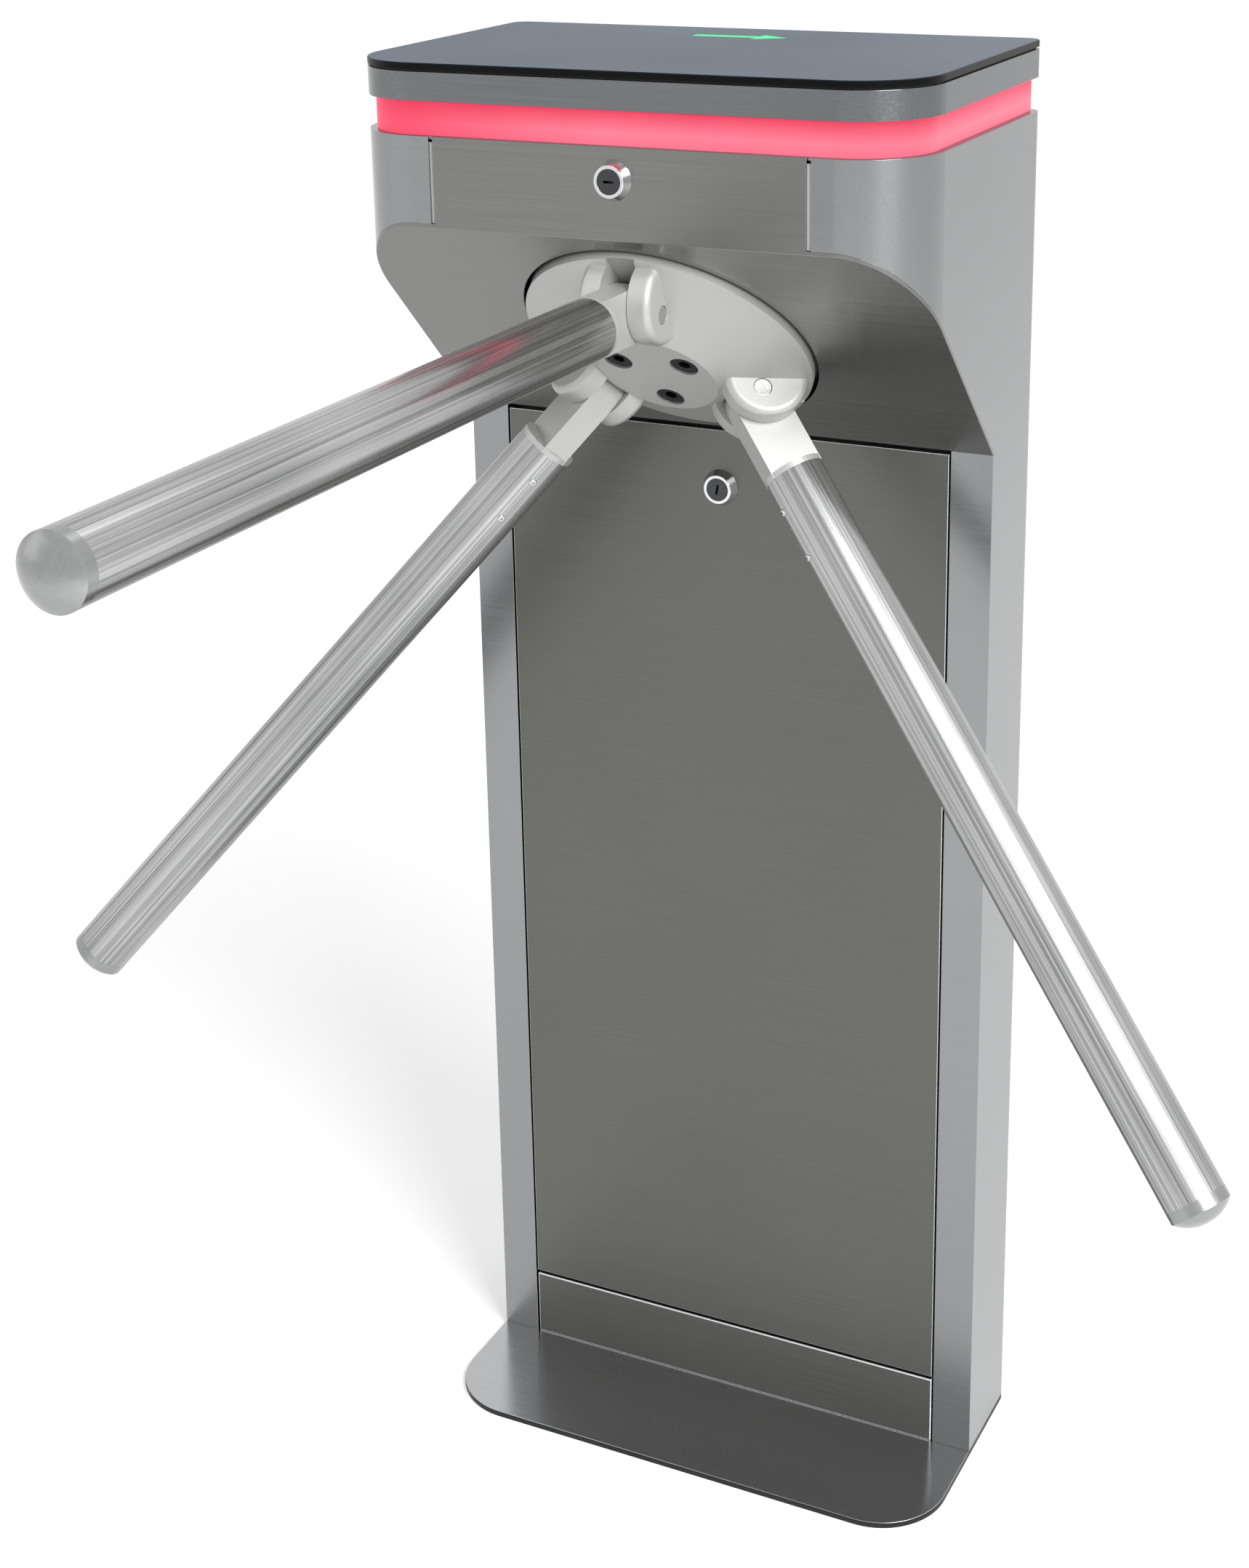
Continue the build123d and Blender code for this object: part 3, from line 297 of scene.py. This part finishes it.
def brushedSteel(name, s):
    # stainless steel with long fine scratches from the grinding belt, drawn coarser, about 1 mm, to show
    made, tree, gloss = newMaterial(name)
    along, across = s["grain"]
    place = addNode(tree, "ShaderNodeTexCoord")
    run = addNode(tree, "ShaderNodeMapping", {"Vector": place.outputs["Object"],
                                              "Rotation": s.get("turn", (0, 0, 0))}, vector_type="TEXTURE")
    stretch = addNode(tree, "ShaderNodeMapping", {"Vector": run.outputs["Vector"],
                                                  "Scale": (1 / along, 1 / across, 1 / across)})
    lines = addNode(tree, "ShaderNodeTexNoise", {"Vector": stretch.outputs["Vector"], "Scale": 1.0,
                                                 "Detail": streakSet["detail"], "Roughness": streakSet["fine"]})
    clouds = addNode(tree, "ShaderNodeTexNoise", {"Vector": place.outputs["Object"],
                                                  "Scale": streakSet["cloudScale"],
                                                  "Detail": streakSet["cloudDetail"]})
    mixed = addNode(tree, "ShaderNodeMath", {0: clouds.outputs["Fac"], 1: streakSet["cloudShare"],
                                             2: lines.outputs["Fac"]}, operation="MULTIPLY_ADD")
    low, high = streakSet["toneRange"]
    spread = addNode(tree, "ShaderNodeMapRange", {"Value": mixed.outputs[0], "From Min": low, "From Max": high})
    shade = addNode(tree, "ShaderNodeMix", {0: spread.outputs["Result"], 6: linear(s["dark"]),
                                            7: linear(s["light"])}, data_type="RGBA")
    low, high = streakSet["roughRange"]
    rough = addNode(tree, "ShaderNodeMapRange", {"Value": lines.outputs["Fac"], "From Min": low, "From Max": high,
                                                 "To Min": s["roughness"][0], "To Max": s["roughness"][1]})
    bump = addNode(tree, "ShaderNodeBump", {"Height": lines.outputs["Fac"], "Strength": s["bump"],
                                            "Distance": streakSet["relief"]})
    tree.links.new(shade.outputs[2], gloss.inputs["Base Color"])
    tree.links.new(rough.outputs["Result"], gloss.inputs["Roughness"])
    tree.links.new(bump.outputs["Normal"], gloss.inputs["Normal"])
    gloss.inputs["Metallic"].default_value = s.get("metal", 1.0)
    # scratches smear what the steel mirrors crosswise to their run
    tangent = addNode(tree, "ShaderNodeCombineXYZ", dict(zip("XYZ", map(float, s["spread"]))))
    tree.links.new(tangent.outputs["Vector"], gloss.inputs["Tangent"])
    gloss.inputs["Anisotropic"].default_value = streakSet["smear"]
    gloss.inputs["Anisotropic Rotation"].default_value = s.get("quarter", 0.0)
    return made


gritSet = {"detail": 2.0, "cloudScale": 14.0, "cloudDetail": 3.0, "roughRange": (0.3, 0.7), "relief": 0.0003}


def blastedFinish(name, s):
    # even fine-grained surface: blasted, turned, moulded or plated, by its metal share and roughness
    made, tree, gloss = newMaterial(name)
    place = addNode(tree, "ShaderNodeTexCoord")
    grit = addNode(tree, "ShaderNodeTexNoise", {"Vector": place.outputs["Object"], "Scale": 1 / s["grain"],
                                                "Detail": gritSet["detail"]})
    clouds = addNode(tree, "ShaderNodeTexNoise", {"Vector": place.outputs["Object"],
                                                  "Scale": gritSet["cloudScale"],
                                                  "Detail": gritSet["cloudDetail"]})
    shade = addNode(tree, "ShaderNodeMix", {0: clouds.outputs["Fac"], 6: linear(s["dark"]),
                                            7: linear(s["light"])}, data_type="RGBA")
    low, high = gritSet["roughRange"]
    rough = addNode(tree, "ShaderNodeMapRange", {"Value": grit.outputs["Fac"], "From Min": low, "From Max": high,
                                                 "To Min": s["roughness"][0], "To Max": s["roughness"][1]})
    bump = addNode(tree, "ShaderNodeBump", {"Height": grit.outputs["Fac"], "Strength": s["bump"],
                                            "Distance": gritSet["relief"]})
    tree.links.new(shade.outputs[2], gloss.inputs["Base Color"])
    tree.links.new(rough.outputs["Result"], gloss.inputs["Roughness"])
    tree.links.new(bump.outputs["Normal"], gloss.inputs["Normal"])
    gloss.inputs["Metallic"].default_value = s["metal"]
    return made


makers = {"brushed": brushedSteel, "blasted": blastedFinish}
looks = {name: makers[s["kind"]](name, s) for name, s in finishes.items()}

# rotor axis and hub centre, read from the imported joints
hubCentre = Vector(joints["rotor_spin"]["pos_m"])
outward = Vector(joints["rotor_spin"]["axis"]).normalized()


def armLine(number):
    # hinge point, direction along the tube, and the side of the tube that looks at the rotor axis
    pin = Vector(joints["arm_%d_fold" % number]["pos_m"])
    arm = pin - hubCentre
    radial = (arm - outward * arm.dot(outward)).normalized()
    return pin, (outward + radial).normalized(), (outward - radial).normalized()


# polished stainless tube, bright with grey streaks that run along each arm, so each has its own turn; the streaks
# are grain drawn strong as painted streak reflections
tubeSet = {"light": "#c8c9c8", "dark": "#6c6d6d", "metal": 0.92, "roughness": (0.20, 0.28),
           "grain": (0.60, 0.0016), "quarter": 0.25, "bump": 0.03}
# spun stainless dome, polished round its axis: plain grey without lengthwise scratches
domeSet = {"light": "#9c9d9d", "dark": "#949595", "metal": 0.92, "roughness": (0.20, 0.24),
           "grain": (0.010, 0.0030), "quarter": 0.25, "bump": 0.0}
for number in armNumbers:
    along = armLine(number)[1]
    turned = Vector((1, 0, 0)).rotation_difference(along).to_euler()
    for kind, s in (("tubeSteel", tubeSet), ("domeSteel", domeSet)):
        name = "%s%d" % (kind, number)
        looks[name] = brushedSteel(name, dict(s, turn=turned, spread=along))

glassSet = {"face": "#1d344a", "edge": "#060708", "roughness": 0.26, "dusty": 1.6, "level": 0.10, "index": 1.5,
            "faceTilt": (0.6, 0.95), "dustScale": 4.0, "dustDetail": 1.0}


def tintedGlass(s):
    # finely etched toughened glass, painted dark on its back: a satin slate face with a near-black edge
    made, tree, gloss = newMaterial("tintedGlass")
    shape = addNode(tree, "ShaderNodeNewGeometry")
    split = addNode(tree, "ShaderNodeSeparateXYZ", {"Vector": shape.outputs["Normal"]})
    low, high = s["faceTilt"]
    flat = addNode(tree, "ShaderNodeMapRange", {"Value": split.outputs["Z"], "From Min": low, "From Max": high})
    place = addNode(tree, "ShaderNodeTexCoord")
    clouds = addNode(tree, "ShaderNodeTexNoise", {"Vector": place.outputs["Object"], "Scale": s["dustScale"],
                                                  "Detail": s["dustDetail"]})
    dust = addNode(tree, "ShaderNodeMapRange", {"Value": clouds.outputs["Fac"], "To Min": s["roughness"],
                                                "To Max": s["roughness"] * s["dusty"]})
    shade = addNode(tree, "ShaderNodeMix", {0: flat.outputs["Result"], 6: linear(s["edge"]), 7: linear(s["face"])},
                    data_type="RGBA")
    tree.links.new(shade.outputs[2], gloss.inputs["Base Color"])
    tree.links.new(dust.outputs["Result"], gloss.inputs["Roughness"])
    gloss.inputs["IOR"].default_value = s["index"]
    gloss.inputs["Specular IOR Level"].default_value = s["level"]
    return made


looks["tintedGlass"] = tintedGlass(glassSet)

glowSet = {
    "middle": "#ff8299", "end": "#fb4a6a", "rim": "#f03c5c", "unlit": "#2a0a10", "strength": 1.0,
    "halfWidth": 0.21,
    "rise": [(0.0, 0.75), (1.0, 0.0), (0.35, 1.0)],  # share of the band's height, and how pale it is there
    "blotchScale": 22.0, "blotchDetail": 1.0, "blotch": (0.92, 1.06), "roughness": 0.45, "sheen": 0.2,
}


def litDiffuser(s):
    # opal acrylic over a row of red diodes: paler in the middle, deeper at the left end and the rims
    made, tree, gloss = newMaterial("litDiffuser")
    low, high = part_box("led_diffuser")
    place = addNode(tree, "ShaderNodeTexCoord")
    split = addNode(tree, "ShaderNodeSeparateXYZ", {"Vector": place.outputs["Object"]})
    left = addNode(tree, "ShaderNodeMapRange", {"Value": split.outputs["X"], "From Min": -s["halfWidth"],
                                                "From Max": 0.0}, interpolation_type="SMOOTHSTEP")
    level = addNode(tree, "ShaderNodeMapRange", {"Value": split.outputs["Z"], "From Min": low.z,
                                                 "From Max": high.z})
    edge = addNode(tree, "ShaderNodeValToRGB", {"Fac": level.outputs["Result"]})
    stops = edge.color_ramp.elements
    for i, (at, held) in enumerate(s["rise"]):
        stop = stops[i] if i < 2 else stops.new(at)  # a new ramp has two stops
        stop.position = at
        stop.color = (held, held, held, 1)
    blotch = addNode(tree, "ShaderNodeTexNoise", {"Vector": place.outputs["Object"], "Scale": s["blotchScale"],
                                                  "Detail": s["blotchDetail"]})
    pale = addNode(tree, "ShaderNodeMix", {0: left.outputs["Result"], 6: linear(s["end"]), 7: linear(s["middle"])},
                   data_type="RGBA")
    tone = addNode(tree, "ShaderNodeMix", {0: edge.outputs["Color"], 6: linear(s["rim"]), 7: pale.outputs[2]},
                   data_type="RGBA")
    soft = addNode(tree, "ShaderNodeMapRange", {"Value": blotch.outputs["Fac"], "To Min": s["blotch"][0],
                                                "To Max": s["blotch"][1]})
    glow = addNode(tree, "ShaderNodeMix", {0: 1.0, 6: tone.outputs[2], 7: soft.outputs["Result"]},
                   data_type="RGBA", blend_type="MULTIPLY")
    tree.links.new(glow.outputs[2], gloss.inputs["Emission Color"])
    gloss.inputs["Emission Strength"].default_value = s["strength"]
    gloss.inputs["Base Color"].default_value = linear(s["unlit"])
    gloss.inputs["Roughness"].default_value = s["roughness"]
    gloss.inputs["Specular IOR Level"].default_value = s["sheen"]
    return made


looks["litDiffuser"] = litDiffuser(glowSet)

signSet = {"glow": "#2fe08a", "unlit": "#06301c", "strength": 1.1, "grainScale": 260.0, "grainDetail": 1.0,
           "grain": (0.8, 1.1)}


def litGreen(s):
    # green diodes behind a clear window: an even green light with a fine grain
    made, tree, gloss = newMaterial("litGreen")
    place = addNode(tree, "ShaderNodeTexCoord")
    grain = addNode(tree, "ShaderNodeTexNoise", {"Vector": place.outputs["Object"], "Scale": s["grainScale"],
                                                 "Detail": s["grainDetail"]})
    soft = addNode(tree, "ShaderNodeMapRange", {"Value": grain.outputs["Fac"], "To Min": s["grain"][0],
                                                "To Max": s["grain"][1]})
    glow = addNode(tree, "ShaderNodeMix", {0: 1.0, 6: linear(s["glow"]), 7: soft.outputs["Result"]},
                   data_type="RGBA", blend_type="MULTIPLY")
    tree.links.new(glow.outputs[2], gloss.inputs["Emission Color"])
    gloss.inputs["Emission Strength"].default_value = s["strength"]
    gloss.inputs["Base Color"].default_value = linear(s["unlit"])
    return made


looks["litGreen"] = litGreen(signSet)
print("finishes: %d" % len(looks))

# which finish each packed material slot gets, and the pieces that have one of their own
slotLooks = {
    "shell_steel": "shellSteel", "panel_steel": "panelSteel", "cap_steel": "capSteel",
    "bright_edge": "paintedSlitHighlight", "base_steel": "baseSteel", "tube_steel": "tubeSteel1",
    "cast_alloy": "castAlloy", "machined_steel": "turnedSteel", "bearing_steel": "bearingSteel",
    "dark_screw": "blackOxide", "tinted_glass": "tintedGlass", "black_rubber": "blackRubber",
    "lit_diffuser": "litDiffuser", "circuit_board": "circuitGreen", "tray_steel": "traySteel",
    "black_plastic": "blackPlastic", "lock_chrome": "brightChrome", "lock_plug": "plugSteel",
    "gear_brass": "gearBrass",
}
# the fascia takes a copy of the steel painted darker, as a painted dark reflection
ownLooks = {"front_fascia": "fasciaSteel"}
for number in armNumbers:
    ownLooks["arm_tube_%d" % number] = "tubeSteel%d" % number
    ownLooks["arm_cap_%d" % number] = "domeSteel%d" % number
nodeSlots = {part["node"]: part["material_slot"] for part in frame["record"]["subparts"]}


def lookOf(name):
    return looks[ownLooks.get(name, slotLooks[nodeSlots[name]])]


for name, part in nodes.items():
    part.data.materials.clear()
    part.data.materials.append(lookOf(name))

# visible edges of sheet and castings are broken by a small radius, which carries the bright edge lines
edgeSet = {
    "body_shell": 0.0005, "front_fascia": 0.0007, "kick_plate": 0.0010, "front_panel": 0.0016,
    "base_plate": 0.0008, "cap_band": 0.0005, "led_diffuser": 0.0005, "rotor_hub": 0.0009,
    "lock_housings": 0.0004, "hub_screws": 0.0005, "arm_pins": 0.0006,
    "arm_root_1": 0.0010, "arm_root_2": 0.0010, "arm_root_3": 0.0010,
}
bevelSet = {"join": 2e-6, "flatAngle": 0.4, "sharpAngle": 28.0, "segments": 2, "profile": 0.5}
# folds of the doors take a painted highlight on the rounded edges, the floor plate a painted shade on its upright
# rim
rimLooks = {"front_panel": "paintedFoldHighlight", "kick_plate": "paintedFoldHighlight", "base_plate": "paintedRimShade"}
rimUpright = 0.9
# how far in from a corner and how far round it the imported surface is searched, and how a match is rated
normalSet = {"stepIn": 0.0003, "stepShare": 0.25, "reach": 0.0012, "leastMatch": 0.8, "gapCost": 40, "tiny": 1e-6}


def steadyNormals(data, source, broken, s):
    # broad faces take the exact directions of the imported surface; the rounded edges turn between them
    source.calc_loop_triangles()
    spots = [v.co for v in source.vertices]
    faces = [tuple(t.vertices) for t in source.loop_triangles]
    corners = [tuple(t.loops) for t in source.loop_triangles]
    exact = [c.vector.copy() for c in source.corner_normals]
    finder = BVHTree.FromPolygons(spots, faces)
    chosen, held = [None] * len(data.loops), {}
    for face in data.polygons:
        if broken[face.index]:
            continue
        for loop in face.loop_indices:
            index = data.loops[loop].vertex_index
            spot = data.vertices[index].co
            inward = s["stepIn"] / max((face.center - spot).length, s["tiny"])
            near = spot.lerp(face.center, min(s["stepShare"], inward))
            best, score = face.normal, s["leastMatch"]
            for place, side, which, gap in finder.find_nearest_range(near, s["reach"]):
                match = side.dot(face.normal) - gap * s["gapCost"]
                if match > score:
                    ends = [spots[k] for k in faces[which]]
                    turned = [exact[k] for k in corners[which]]
                    best, score = barycentric_transform(place, *ends, *turned).normalized(), match
            chosen[loop] = best
            held.setdefault(index, []).append(best)
    for face in data.polygons:
        for loop in face.loop_indices:
            if chosen[loop] is None:
                index = data.loops[loop].vertex_index
                known = held.get(index)
                chosen[loop] = max(known, key=face.normal.dot) if known else data.vertices[index].normal
    data.normals_split_custom_set([tuple(c) for c in chosen])


def softened(name, radius, s):
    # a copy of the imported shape, joined up, its flats cleaned and its sharp edges rounded
    shape = bmesh.new()
    shape.from_mesh(nodes[name].data)
    bmesh.ops.remove_doubles(shape, verts=shape.verts, dist=s["join"])
    bmesh.ops.dissolve_limit(shape, angle_limit=math.radians(s["flatAngle"]), verts=shape.verts,
                             edges=shape.edges)
    least = math.radians(s["sharpAngle"])
    sharp = [e for e in shape.edges if len(e.link_faces) == 2 and e.calc_face_angle() > least]
    cut = bmesh.ops.bevel(shape, geom=sharp, offset=radius, offset_type="OFFSET", segments=s["segments"],
                          profile=s["profile"], affect="EDGES", clamp_overlap=True)
    shape.faces.index_update()
    edges = {f.index for f in cut["faces"]}
    broken = [f.index in edges for f in shape.faces]
    made = newObject(name + "_soft", shape)
    data = made.data
    data.materials.append(lookOf(name))
    data.shade_smooth()
    steadyNormals(data, nodes[name].data, broken, normalSet)
    if name in rimLooks:
        data.materials.append(looks[rimLooks[name]])
        for face in data.polygons:
            onRim = abs(face.normal.z) < rimUpright if name == "base_plate" else broken[face.index]
            face.material_index = int(onRim)
    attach(made, nodes[name]["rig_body"])
    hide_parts(name)
    return made


for name, radius in edgeSet.items():
    made = softened(name, radius, bevelSet)
    print("edges: %s %d faces" % (name, len(made.data.polygons)))

# screws: one head shape set out at its places by a node tree
screwSet = {
    "button": {"head": 0.0028, "rise": 0.0010, "socket": 0.0012, "deep": 0.0009, "sink": 0.0002, "rim": 0.72,
               "skirt": 0.25, "sides": 24, "steps": 4, "sharpAngle": 40.0},
    "first": 0.081,        # from the hinge pin to an arm's first screw
    "pitch": 0.036,
    "count": 2,
    "tubeRadius": 0.0212,
}


def screwHead(s):
    # turned button head with a hexagon socket, its axis on Z and its seat at zero
    shape = bmesh.new()
    sides, rings = s["sides"], []
    turns = [2 * math.pi * k / sides for k in range(sides)]
    profile = [(s["head"], -s["sink"]), (s["head"], s["rise"] * s["skirt"])]
    for i in range(1, s["steps"] + 1):
        turn = i / s["steps"] * math.pi / 2
        reach = s["head"] * (s["rim"] + (1 - s["rim"]) * math.cos(turn))
        profile.append((reach, s["rise"] * (s["skirt"] + (1 - s["skirt"]) * math.sin(turn))))
    for radius, height in profile:
        rings.append([shape.verts.new((radius * math.cos(t), radius * math.sin(t), height)) for t in turns])
    for height in (s["rise"], s["rise"] - s["deep"]):
        ring = []
        for turn in turns:
            flat = math.cos(math.pi / 6) / math.cos((turn % (math.pi / 3)) - math.pi / 6)
            reach = s["socket"] * flat
            ring.append(shape.verts.new((reach * math.cos(turn), reach * math.sin(turn), height)))
        rings.append(ring)
    for lower, upper in zip(rings, rings[1:]):
        for k in range(sides):
            shape.faces.new((lower[k], lower[(k + 1) % sides], upper[(k + 1) % sides], upper[k]))
    shape.faces.new(rings[-1])
    shape.faces.new(list(reversed(rings[0])))
    bmesh.ops.recalc_face_normals(shape, faces=shape.faces)
    made = newObject("screwHead", shape)
    made.data.set_sharp_from_angle(angle=math.radians(s["sharpAngle"]))
    return made


def screwTree():
    # sets a head on every point, stands it along an axis, and makes it real
    tree = bpy.data.node_groups.new("screwsOnPoints", "GeometryNodeTree")
    for name, kind in (("Points", "Geometry"), ("Head", "Object"), ("Axis", "Vector"), ("Size", "Float"),
                       ("Finish", "Material")):
        tree.interface.new_socket(name, in_out="INPUT", socket_type="NodeSocket" + kind)
    tree.interface.new_socket("Screws", in_out="OUTPUT", socket_type="NodeSocketGeometry")
    given = addNode(tree, "NodeGroupInput")
    head = addNode(tree, "GeometryNodeObjectInfo", {"Object": given.outputs["Head"]})
    stand = addNode(tree, "FunctionNodeAlignRotationToVector", {"Vector": given.outputs["Axis"]}, axis="Z")
    spots = addNode(tree, "GeometryNodeMeshToPoints", {"Mesh": given.outputs["Points"]})
    copies = addNode(tree, "GeometryNodeInstanceOnPoints", {
        "Points": spots.outputs["Points"], "Instance": head.outputs["Geometry"],
        "Rotation": stand.outputs["Rotation"], "Scale": given.outputs["Size"]})
    real = addNode(tree, "GeometryNodeRealizeInstances", {"Geometry": copies.outputs["Instances"]})
    finish = addNode(tree, "GeometryNodeSetMaterial", {"Geometry": real.outputs["Geometry"],
                                                       "Material": given.outputs["Finish"]})
    addNode(tree, "NodeGroupOutput", {"Screws": finish.outputs["Geometry"]})
    return tree


def placeScrews(name, tree, head, points, axis, finish):
    data = bpy.data.meshes.new(name + "_points")
    data.from_pydata([tuple(p) for p in points], [], [])
    carrier = bpy.data.objects.new(name + "_points", data)
    scene.collection.objects.link(carrier)
    maker = carrier.modifiers.new("screws", "NODES")
    maker.node_group = tree
    known = {item.name: item.identifier for item in tree.interface.items_tree if item.in_out == "INPUT"}
    maker[known["Head"]] = head
    maker[known["Axis"]] = tuple(axis)
    maker[known["Size"]] = 1.0
    maker[known["Finish"]] = finish
    bpy.context.view_layer.update()
    seen = carrier.evaluated_get(bpy.context.evaluated_depsgraph_get())
    solid = bpy.data.meshes.new_from_object(seen)
    made = bpy.data.objects.new(name, solid)
    scene.collection.objects.link(made)
    bpy.data.objects.remove(carrier)
    return made


def makeTubeScrews(s):
    head, tree = screwHead(s["button"]), screwTree()
    for number in armNumbers:
        pin, along, side = armLine(number)
        spots = [pin + along * (s["first"] + i * s["pitch"]) + side * s["tubeRadius"] for i in range(s["count"])]
        made = placeScrews("tubeScrews%d" % number, tree, head, spots, side, looks["turnedSteel"])
        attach(made, "arm_%d" % number)
        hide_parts("arm_screws_%d" % number)
    bpy.data.objects.remove(head)


makeTubeScrews(screwSet)
print("screws: set on the arms")

# plain green arrow that lights up on the glass near its rear edge
arrowSet = {"length": 0.072, "shaft": 0.009, "head": 0.026, "headLength": 0.022, "fromRear": 0.052,
            "thick": 0.0003}


def makeArrow(s):
    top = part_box("glass_top")[1]
    half, neck = s["length"] / 2, s["length"] / 2 - s["headLength"]
    outline = [(-half, -s["shaft"] / 2), (neck, -s["shaft"] / 2), (neck, -s["head"] / 2), (half, 0),
               (neck, s["head"] / 2), (neck, s["shaft"] / 2), (-half, s["shaft"] / 2)]
    shape = bmesh.new()
    middle, seat = top.y - s["fromRear"], top.z - s["thick"] / 2
    base = shape.faces.new([shape.verts.new((x, middle + y, seat)) for x, y in outline])
    raised = bmesh.ops.extrude_face_region(shape, geom=[base])
    lifted = [v for v in raised["geom"] if isinstance(v, bmesh.types.BMVert)]
    bmesh.ops.translate(shape, verts=lifted, vec=(0, 0, s["thick"]))
    bmesh.ops.recalc_face_normals(shape, faces=shape.faces)
    made = newObject("arrowLight", shape)
    made.data.materials.append(looks["litGreen"])
    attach(made, "pedestal")


makeArrow(arrowSet)
print("arrow light: on the glass")
